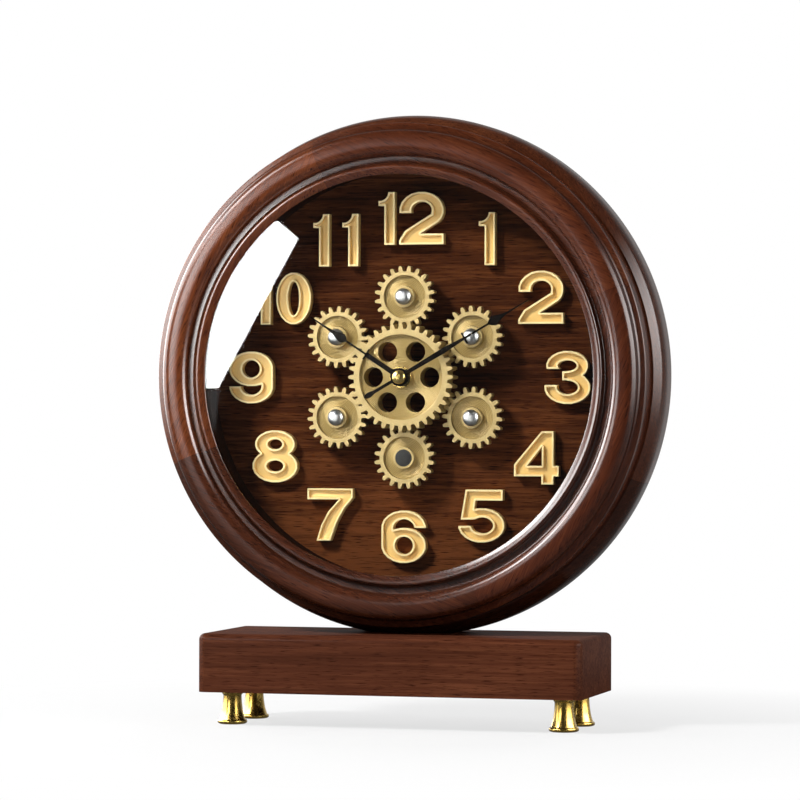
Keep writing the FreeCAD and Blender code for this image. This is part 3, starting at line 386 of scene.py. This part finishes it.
rear_outline = [
    (105, 0.02, 0.2), (126.6, 0.02, 0.3),                                   # glued face
    (130.2, 3.0, 2.0), (131.89, 8.0, 2.5), (131.89, 24, 5.0),               # shoulders
    (110, 24, 0.5), (110, 6.5, 0.1), (105, 6.5, 0.2)]                       # recess and step
rear_tones = {
    1: (srgb(38, 17, 9), srgb(62, 30, 16), srgb(92, 50, 29)),
    2: (srgb(24, 10, 5), srgb(42, 19, 10), srgb(64, 32, 18)),
    3: (srgb(40, 18, 9), srgb(66, 33, 18), srgb(96, 53, 32)),
    4: (srgb(40, 19, 10), srgb(70, 35, 19), srgb(100, 56, 33)),
}
glued_ring("rear", rear_outline, rear_tones, first_joint=24, heart_radius=0.118,
           heart_step=0.02, gloss=0.4, coat=0.4)


# ---- Front ring --------------------------------------------------------------
# The second turned ring, glued over the rear one with its joints halfway between.
# Its rounded lip holds the glass; outside it run a flat groove, a broad bead and a small cove,
# and the lacquer lies thicker on the lip and in the groove than on the bead.

front_outline = [
    (105, -0.02, 0.1), (105, -19.8, 0.1),                                   # bore
    (100.4, -19.8, 0.15), (100.5, -20.6, 0.3), (102.8, -21.5, 1.0),         # lip
    (104.8, -21.75, 0.9), (106.0, -19.2, 0.4),
    (107.1, -18.7, 0.4), (109.6, -18.7, 0.4),                               # groove
    (109.9, -24, 4.8), (122.6, -24, 4.6),                                   # bead
    (122.9, -18.2, 1.1), (126.4, -16.9, 0.6),                               # cove
    (125.8, -0.02, 0.3)]                                                    # plain side
front_tones = {
    1: (srgb(44, 18, 9), srgb(72, 34, 18), srgb(102, 56, 33)),
    2: (srgb(38, 15, 8), srgb(64, 29, 15), srgb(92, 47, 27)),
    3: (srgb(32, 13, 7), srgb(56, 26, 13), srgb(84, 43, 25)),
    4: (srgb(50, 22, 10), srgb(88, 43, 21), srgb(121, 67, 37)),
}
glued_ring("front", front_outline, front_tones, first_joint=-21, heart_radius=0.113,
           heart_step=0.03, gloss=0.36, coat=0.45)


# ---- Dial --------------------------------------------------------------------
# A round board faced with dark veneer, its grain level, screwed to the step in the rear ring
# by four small pan-head screws from the back.

def painted_light_below(add):
    """Painted light: a level that rises from nothing at the drum's middle to its most near the
    lower edge.
    """
    lower_z, painted_lightness = 0.08, 0.14
    return remap(add, coordinate(add, "Z"), drum_z, lower_z, 0.0, painted_lightness)


# The dial is painted lighter towards its lower edge, away from the shade of the lip.
dial_wood = wood("dial_wood", srgb(40, 19, 9), srgb(70, 36, 18), srgb(104, 58, 30),
                 centre=(0, 0, 0.1), gloss=0.55, coat=0.0, width=0.0018, length=0.04,
                 lift=painted_light_below)
copy_of("dial", "dial_board", dial_wood, 0.0002)


def pan_screw(x, z, seat_y, tip_y, shank, head, height):
    """Screw with a cross recess, turned about Y.

    The head's height is that of a flattened dome, 1 - fall share^4 of the full height, less a
    cross that is sunk where the nearer of |across| and |up| is under a sixth of its radius.
    """
    turns, fall, cross_reach, cross_depth = 96, 0.55, 0.6, 0.45
    share = np.concatenate([np.linspace(0, 0.72, 16), np.linspace(0.76, 1, 8)])[:, None]
    angle = np.linspace(0, 2 * np.pi, turns, endpoint=False)[None, :]
    dome = height * (1 - fall * share ** 4)
    across, up = head * share * np.cos(angle), head * share * np.sin(angle)
    cross = (np.minimum(abs(across), abs(up)) < head / 6) & (share < cross_reach)
    face = np.stack([up, seat_y + dome - cross * height * cross_depth, across], axis=-1)
    body = lathe([(head, seat_y), (shank, seat_y), (shank, tip_y + shank), (0, tip_y)],
                 (0, 0, 0), "Y", turns)
    return np.concatenate([face, body]) + np.array([x, 0, z])


screw_circle = 0.1075       # radius in the middle of the rear ring's step
for number in range(4):
    x, z = on_circle(screw_circle, 45 + 90 * number, drum_z)
    grid = pan_screw(x, z, seat_y=0.0095, tip_y=0.0016, shank=0.00125, head=0.0024,
                     height=0.0018)
    piece(f"dial_screw_{number + 1}", grid, "case", screw_zinc,
          ("dial_screws",) if number == 0 else ())


# ---- Numerals ----------------------------------------------------------------
# Twelve cast numerals glued to the dial, each a channel: a thin raised rim round a sunk floor.
# Painted satin gold, with a painted highlight on the rims and painted shade down in the channel.

def numeral_gold():
    """Satin gold paint: a painted highlight on the rims, painted shade down the channel and
    behind.
    """
    rim_y, floor_y, mottle_share = 0.0022, 0.0036, 0.18
    material, surface, add, link = shader("numeral_gold")
    sunk = remap(add, coordinate(add, "Y"), rim_y, floor_y)
    mottle = reckon(add, "MULTIPLY", figure(add, (0.006,) * 3), mottle_share)
    # Painted highlight and shade: the tone goes from pale at the rims to tan on the sunk floor.
    tone = ramp(add, reckon(add, "SUBTRACT", sunk, mottle), [
        (0.0, srgb(255, 230, 168)), (0.5, srgb(244, 206, 130)), (1.0, srgb(234, 194, 116))])
    link.new(tone, surface.inputs["Base Color"])
    fine = figure(add, (0.0005,) * 3, detail=2)
    link.new(relief(add, fine, 0.08), surface.inputs["Normal"])
    surface.inputs["Metallic"].default_value = 0.1
    surface.inputs["Roughness"].default_value = 0.38
    surface.inputs["Specular IOR Level"].default_value = 0.3
    return material


gold = numeral_gold()
for number in range(1, 13):
    copy_of(f"numeral_{number}", f"channel_numeral_{number}", gold, 0.0003, 30)


# ---- Gear train --------------------------------------------------------------
# A deep centre gear of 36 teeth turns six planets of 20 teeth round it. All are cut from
# pale brass and left matt; a raised rim with the teeth stands round each one's sunk face.

dial_z = 0.1752             # gears and hands are centred 1 mm below the drum's axis
planet_circle = 0.0406      # radius on which the planets' centres lie


def cut_brass(name, x, z, rim_y, web_y):
    """Cut brass, matt: pale at the teeth and rim, darker and ringed by the tool on the web."""
    margin = 0.0002
    material, surface, add, link = shader(name)
    sunk = remap(add, coordinate(add, "Y"), rim_y + margin, web_y - margin)
    cloud = figure(add, (0.005,) * 3)
    level = add("ShaderNodeMix", {0: 0.4, 2: sunk, 3: cloud}, data_type="FLOAT").outputs[0]
    tone = ramp(add, level, [(0.1, srgb(192, 168, 114)), (0.35, srgb(180, 154, 98)),
                             (0.85, srgb(164, 138, 80))])
    link.new(tone, surface.inputs["Base Color"])
    where = add("ShaderNodeTexCoord").outputs["Object"]
    own = add("ShaderNodeMapping", {"Vector": where, "Location": (x, 0, z)},
              vector_type="TEXTURE").outputs["Vector"]
    rings = add("ShaderNodeTexWave", {"Vector": own, "Scale": 420.0, "Distortion": 0.6,
                                      "Detail": 1.0, "Detail Scale": 2.0},
                wave_type="RINGS", rings_direction="Y").outputs["Fac"]
    marks = reckon(add, "MULTIPLY", rings, sunk)
    link.new(relief(add, marks, 0.5), surface.inputs["Normal"])
    surface.inputs["Metallic"].default_value = 0.3
    surface.inputs["Roughness"].default_value = 0.36
    return material


centre_brass = cut_brass("centre_gear_brass", 0, dial_z, rim_y=-0.0122, web_y=-0.0102)
copy_of("centre_gear", "gear_centre", centre_brass, 0.0003, 30)
for number in range(1, 7):
    x, z = on_circle(planet_circle, 60 * (number - 1), dial_z)
    brass = cut_brass(f"planet_brass_{number}", x, z, rim_y=-0.0047, web_y=-0.0032)
    copy_of(f"planet_gear_{number}", f"gear_planet_{number}", brass, 0.00025, 30)


# ---- Gear pins ---------------------------------------------------------------
# Five steel pins with domed heads carry planets over brass spacers; a hexagon nut behind the
# dial holds each. The lowest planet is pressed on the black nose of the drive spindle.

steel = metal("bright_steel", srgb(156, 156, 158), srgb(194, 194, 194), 1.0, 0.34, 0.002)
pin_profile = rounded([
    (0, -9.4, 0), (2.4, -9.35, 0.9), (4.1, -8.1, 0.5), (4.1, -6.5, 0.2),    # domed head
    (2.5, -6.5, 0.05), (2.5, 13.5, 0.3), (0, 13.5, 0)])                     # shank
for number in (1, 2, 3, 5, 6):
    x, z = on_circle(planet_circle, 60 * (number - 1), dial_z)
    piece(f"gear_pin_{number}", lathe(pin_profile, (x, 0, z), "Y", 48), "case",
          steel, ("gear_pins",) if number == 1 else ())

spacer_brass = metal("spacer_brass", srgb(150, 120, 62), srgb(182, 150, 88), 0.8, 0.35)
copy_of("gear_spacers", "spacers", spacer_brass, 0.0002)
nut_zinc = metal("nut_zinc", srgb(140, 140, 138), srgb(182, 182, 178), 1.0, 0.32, 0.002)
copy_of("gear_pin_nuts", "pin_nuts", nut_zinc, 0.0003)

lacquer_black = metal("lacquer_black", srgb(16, 15, 14), srgb(28, 26, 24), 0.2, 0.3)
copy_of("drive_spindle", "spindle", lacquer_black, 0.0003)


# ---- Centre ------------------------------------------------------------------
# A threaded brass bushing through the dial, with its washer and nut behind the gear and a
# collar in front of it, and inside it the hour tube and the minute arbor.

hub_brass = metal("hub_brass", srgb(176, 150, 86), srgb(210, 184, 118), 0.9, 0.24)
for node, name in (("centre_bushing", "bushing"), ("bushing_washer", "washer"),
                   ("bushing_nut", "centre_nut"), ("gear_collar", "collar"),
                   ("hour_tube", "hour_shaft"), ("minute_arbor", "minute_shaft")):
    copy_of(node, name, hub_brass, 0.00015)


# ---- Hands -------------------------------------------------------------------
# Two spade hands of thin steel with crossbars, lacquered black and pushed on their shafts,
# under a small brass cap nut.

hand_black = metal("hand_black", srgb(9, 7, 6), srgb(22, 17, 13), 0.0, 0.22, 0.003, shine=0.07)
copy_of("hour_hand", "hand_hour", hand_black, 0.00018, 30)
copy_of("minute_hand", "hand_minute", hand_black, 0.00018, 30)
cap_profile = rounded([
    (0, -17.3, 0), (1.6, -17.3, 0.5), (3.1, -16.7, 0.5), (3.6, -15.9, 0.3),   # domed cap
    (3.6, -15.3, 0.1), (1.6, -15.3, 0.05), (1.6, -16.6, 0.05), (0, -16.6, 0)])
piece("cap_nut", lathe(cap_profile, (0, 0, dial_z), "Y", 64), "minute", hub_brass,
      ("hand_nut",))


# ---- Glass -------------------------------------------------------------------
# Flat clear glass behind the lip of the front ring, cut round and laid in from the back.
# A strip of wood bent to a hoop holds it off the dial.

spacer_wood = wood("spacer_wood", srgb(22, 11, 7), srgb(40, 21, 12), srgb(58, 32, 19),
                   gloss=0.6, coat=0.0)
copy_of("glass_spacer_ring", "spacer_strip", spacer_wood, 0.0002)


def blend(add, share, first, second):
    """Shader that passes from the first to the second as share goes from 0 to 1."""
    return add("ShaderNodeMixShader", {0: share, 1: first, 2: second}).outputs["Shader"]


def show(material, result):
    """Let the material's surface be the given shader."""
    tree = material.node_tree
    tree.links.new(result, tree.nodes["Material Output"].inputs["Surface"])


def clear_glass():
    """Thin clear glass: straight-through light under a mirror of 0.04 + 0.96 facing^5."""
    material, surface, add, _ = shader("clear_glass")
    through = add("ShaderNodeBsdfTransparent", {"Color": (0.985, 0.99, 0.985, 1)})
    waves = relief(add, figure(add, (0.05,) * 3, detail=2), 0.004, 0.001)
    shine = add("ShaderNodeBsdfGlossy", {"Color": (1, 1, 1, 1), "Roughness": 0.012,
                                         "Normal": waves})
    slant = add("ShaderNodeLayerWeight", {"Blend": 0.5}).outputs["Facing"]
    mirror = remap(add, reckon(add, "POWER", slant, 5.0), 0.0, 1.0, 0.04, 1.0)
    show(material, blend(add, mirror, through.outputs["BSDF"], shine.outputs["BSDF"]))
    material.node_tree.nodes.remove(surface)
    return material


copy_of("glass", "pane", clear_glass(), 0.0004)


# ---- Works -------------------------------------------------------------------
# Moulded black cases behind the dial: the clock movement, and below it the drive of the gears.
# Each has a bay for a round cell, and the movement has a ribbed knob for setting the hands.

def moulded(name, low, high, roughness):
    """Moulded plastic with a fine even grain."""
    material, surface, add, link = shader(name)
    cloud = figure(add, (0.01,) * 3)
    link.new(ramp(add, cloud, [(0.3, low), (0.7, high)]), surface.inputs["Base Color"])
    grain = figure(add, (0.0005,) * 3, detail=2)
    link.new(relief(add, grain, 0.2), surface.inputs["Normal"])
    surface.inputs["Roughness"].default_value = roughness
    return material


case_plastic = moulded("case_plastic", srgb(30, 30, 31), srgb(44, 44, 46), 0.5)
copy_of("movement_case", "movement_box", case_plastic, 0.0004)
copy_of("drive_unit_case", "drive_box", case_plastic, 0.0004)
switch_plastic = moulded("switch_plastic", srgb(186, 186, 184), srgb(204, 204, 202), 0.45)
copy_of("drive_switch", "slide_button", switch_plastic, 0.0003)


def ribbed(profile, centre, ribs, depth):
    """Turned shape about Y whose outer wall is fluted: radius less depth times sin^2 of ribs."""
    turns = 240
    angle = np.linspace(0, 2 * np.pi, turns, endpoint=False)[None, :, None]
    reach = profile[:, 0].max()
    outer = (profile[:, 0] > 0.9 * reach)[:, None, None]
    flute = 1 - outer * depth / reach * np.sin(ribs * angle / 2) ** 2
    grid = lathe(profile, (0, 0, 0), "Y", turns)
    return grid * np.concatenate([flute, np.ones_like(flute), flute], axis=2) + np.array(centre)


knob_plastic = moulded("knob_plastic", srgb(40, 40, 42), srgb(56, 56, 58), 0.42)
knob_profile = rounded([
    (0, 29.0, 0), (4.6, 29.0, 0.6), (6.0, 28.6, 0.4), (6.0, 25.8, 0.3),     # knob
    (1.5, 25.8, 0.05), (1.5, 19.5, 0.2), (0, 19.5, 0)])                     # stem
knob_z = dial_z + 0.013
piece("ribbed_knob", ribbed(knob_profile, (0, 0, knob_z), ribs=24, depth=0.0004), "setter",
      knob_plastic, ("setting_knob",))

cell_jacket = metal("cell_jacket", srgb(88, 94, 108), srgb(106, 112, 126), 0.5, 0.3, 0.01)
cell_profile = rounded([
    (0, -25.2, 0), (6.6, -25.2, 0.4), (7.1, -24.9, 0.3), (7.1, 23.4, 0.4),  # can
    (6.2, 23.8, 0.3), (2.75, 23.8, 0.2), (2.75, 25.2, 0.4), (0, 25.2, 0)])  # contact
for node, name, y, z in (("clock_battery", "cell_clock", 0.0183, 0.157),
                         ("drive_battery", "cell_drive", 0.0173, 0.1115)):
    piece(name, lathe(cell_profile, (0, y, z), "X", 72), "case", cell_jacket,
          (node,))

drive_screw_x, drive_screw_z = 0.0345, 0.1237
for number, x in enumerate((-drive_screw_x, drive_screw_x), 1):
    grid = pan_screw(x, drive_screw_z, seat_y=0.0125, tip_y=0.0069, shank=0.00125, head=0.0026,
                     height=0.0018)
    piece(f"drive_screw_{number}", grid, "case", screw_zinc,
          ("drive_screws",) if number == 1 else ())


# ---- Studio ------------------------------------------------------------------
# A plain white floor, a key lamp from the upper left, weaker ones from the other sides, and
# cards for a window, its sill and three bright panels, which only mirrors see.

def emitter(name, place, size, power):
    """Flat lamp that faces the clock's middle and leaves no highlight of its own."""
    lamp = bpy.data.lights.new(name, "AREA")
    lamp.shape = "RECTANGLE"
    lamp.size, lamp.size_y = size
    lamp.energy = power
    obj = bpy.data.objects.new(name, lamp)
    obj.location = place
    aim = Vector((0, 0, 0.16)) - Vector(place)
    obj.rotation_euler = aim.to_track_quat("-Z", "Y").to_euler()
    obj.visible_glossy = False
    bpy.context.scene.collection.objects.link(obj)


emitter("key", (-0.85, -0.98, 1.32), (0.35, 0.35), 46)
emitter("fill", (1.1, -1.6, 0.5), (0.6, 0.6), 4)
emitter("right_strip", (0.95, -0.2, 0.36), (0.10, 0.7), 4)
emitter("left_strip", (-0.95, -0.2, 0.3), (0.16, 0.8), 4)
emitter("back_fill", (0.3, 1.9, 0.7), (0.6, 0.6), 14)


def card(name, corners, strength, soft=False):
    """Flat glowing panel that only mirrors see; a soft one fades to nothing at top and foot."""
    mesh = bpy.data.meshes.new(name)
    mesh.from_pydata(corners, [], [(0, 1, 2, 3)])
    glow, _, add, link = shader(name)
    light = add("ShaderNodeEmission", {"Strength": strength})
    if soft:
        heights = [corner[2] for corner in corners]
        foot, top = min(heights), max(heights)
        off = reckon(add, "SUBTRACT", coordinate(add, "Z"), (foot + top) / 2)
        fade = remap(add, reckon(add, "ABSOLUTE", off), 0.0, (top - foot) / 2, strength, 0.0,
                     "SMOOTHSTEP")
        link.new(fade, light.inputs["Strength"])
    show(glow, light.outputs["Emission"])
    mesh.materials.append(glow)
    obj = bpy.data.objects.new(name, mesh)
    bpy.context.scene.collection.objects.link(obj)
    obj.visible_camera = False
    obj.visible_diffuse = False
    obj.visible_transmission = False
    obj.visible_shadow = False


card("window", [(-0.406, -1.2, 0.302), (-0.475, -1.2, 0.178), (-0.85, -1.2, 0.178),
                (-0.85, -1.2, 0.66)], 24)
card("low_window", [(-0.474, -1.2, 0.176), (-0.482, -1.2, 0.10), (-0.60, -1.2, 0.10),
                    (-0.60, -1.2, 0.176)], 0.45)
card("left_panel", [(-1.05, -0.65, -0.15), (-0.8, 1.0, -0.15), (-0.8, 1.0, 1.05),
                    (-1.05, -0.65, 1.05)], 24, soft=True)
card("right_panel", [(0.95, 0.3, -0.1), (0.95, -0.8, -0.1), (0.95, -0.8, 1.0),
                     (0.95, 0.3, 1.0)], 20, soft=True)
card("key_panel", [(-1.15, -0.75, 0.4), (-0.8, -1.1, 0.4), (-0.8, -1.1, 1.3),
                   (-1.15, -0.75, 1.3)], 50, soft=True)


def lit_floor():
    """Grey floor that takes the clock's shadow, and glows white further off.

    Eyes, mirrors and panes see it glow, fully so from 0.34 m on. Mirrors see it dim near the
    clock and in front of it, so that polished parts don't turn white from below.
    """
    material, surface, add, _ = shader("floor_paint")
    surface.inputs["Base Color"].default_value = (0.5, 0.5, 0.5, 1)
    surface.inputs["Roughness"].default_value = 0.8
    surface.inputs["Specular IOR Level"].default_value = 0.1
    where = add("ShaderNodeTexCoord").outputs["Object"]
    distance = add("ShaderNodeVectorMath", {0: where}, operation="LENGTH").outputs["Value"]
    path = add("ShaderNodeLightPath").outputs
    seen = reckon(add, "MAXIMUM", path["Is Camera Ray"], path["Is Transmission Ray"])
    seen = reckon(add, "MAXIMUM", seen, path["Is Glossy Ray"])
    far = remap(add, distance, 0.12, 0.34, 0.72, 1.0)
    white = add("ShaderNodeEmission", {"Strength": 1.0}).outputs["Emission"]
    plain = blend(add, reckon(add, "MULTIPLY", seen, far), surface.outputs["BSDF"], white)
    ahead = remap(add, coordinate(add, "Y"), -0.05, -0.5, course="SMOOTHSTEP")
    near = remap(add, distance, 0.8, 0.3)
    hidden = reckon(add, "MULTIPLY", reckon(add, "MAXIMUM", ahead, near), path["Is Glossy Ray"])
    dim = add("ShaderNodeEmission", {"Strength": 0.2}).outputs["Emission"]
    show(material, blend(add, hidden, plain, dim))
    return material


side_x, front_y, back_y = 6, -0.9, 6
floor_mesh = bpy.data.meshes.new("floor")
floor_mesh.from_pydata([(-side_x, front_y, 0), (side_x, front_y, 0), (side_x, back_y, 0),
                        (-side_x, back_y, 0)], [], [(0, 1, 2, 3)])
floor_mesh.materials.append(lit_floor())
floor = bpy.data.objects.new("floor", floor_mesh)
bpy.context.scene.collection.objects.link(floor)

# The room is white behind the clock, for mirrors too, and dim in front of it, so that the glass
# stays clear.
world = bpy.data.worlds.new("studio")
bpy.context.scene.world = world
world.use_nodes = True
add = adder(world.node_tree)
path = add("ShaderNodeLightPath").outputs
toward = add("ShaderNodeTexCoord").outputs["Generated"]
backward = add("ShaderNodeSeparateXYZ", {"Vector": toward}).outputs["Y"]
seen = reckon(add, "MAXIMUM", path["Is Camera Ray"], path["Is Transmission Ray"])
room = remap(add, backward, -0.35, 0.5, 0.03, 0.22)
mirrored = reckon(add, "MULTIPLY", path["Is Glossy Ray"], remap(add, backward, 0.3, 0.9))
brightest = reckon(add, "MAXIMUM", reckon(add, "MAXIMUM", seen, room), mirrored)
background = world.node_tree.nodes["Background"]
background.inputs["Color"].default_value = (1, 1, 1, 1)
world.node_tree.links.new(brightest, background.inputs["Strength"])

# A long lens a little to the right of the front, at the height of the clock's middle.
lens = bpy.data.cameras.new("camera")
lens.sensor_width = 36
lens.lens = 171
camera = bpy.data.objects.new("camera", lens)
bpy.context.scene.collection.objects.link(camera)
sight = Vector((-0.2612, 0.9653, 0.0037)).normalized()
side = sight.cross(Vector((0, 0, 1))).normalized()
tilt = Matrix.Rotation(math.radians(-0.15), 3, sight)
axes = Matrix((tilt @ side, tilt @ side.cross(sight), -sight)).transposed().to_4x4()
camera.matrix_world = Matrix.Translation((0.4976, -1.8519, 0.1567)) @ axes
bpy.context.scene.camera = camera

view = bpy.context.scene.view_settings
view.view_transform = "Standard"
